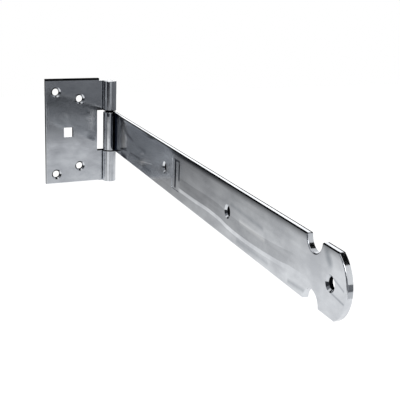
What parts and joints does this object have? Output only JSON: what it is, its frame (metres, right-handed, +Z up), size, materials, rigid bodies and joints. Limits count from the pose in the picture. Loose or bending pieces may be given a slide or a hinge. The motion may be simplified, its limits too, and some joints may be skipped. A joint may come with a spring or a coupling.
{
  "type": "tee hinge",
  "caption": "Heavy tee hinge: a rectangular plate leaf with two curled outer knuckles, a pin, and a long flat strap leaf with a notched round head.",
  "frame": {"origin": "centre of the square bolt hole, on the plate leaf's back face", "axes": "+Z up along the pin, +X across the plate towards the pin, +Y into the post that the plate is fixed to; the strap stands forward, about 96 degrees from flat"},
  "size_m": [0.0936, 0.6057, 0.136],
  "materials": {
    "plate_zinc": "bright zinc plate over rolled strip",
    "strap_zinc": "bright zinc plate over rolled strip",
    "pin_zinc": "bright zinc plate over drawn wire"
  },
  "bodies": {
    "plate": {"plate_leaf": "plate_zinc", "hinge_pin": "pin_zinc"},
    "strap": {"strap_leaf": "strap_zinc"}
  },
  "joints": [
    {"name": "strap_swing", "type": "hinge", "parent": "plate", "child": "strap", "pos_m": [0.055, -0.0085, 0], "axis": [0, 0, 1], "range_deg": [-87, 218]}
  ]
}
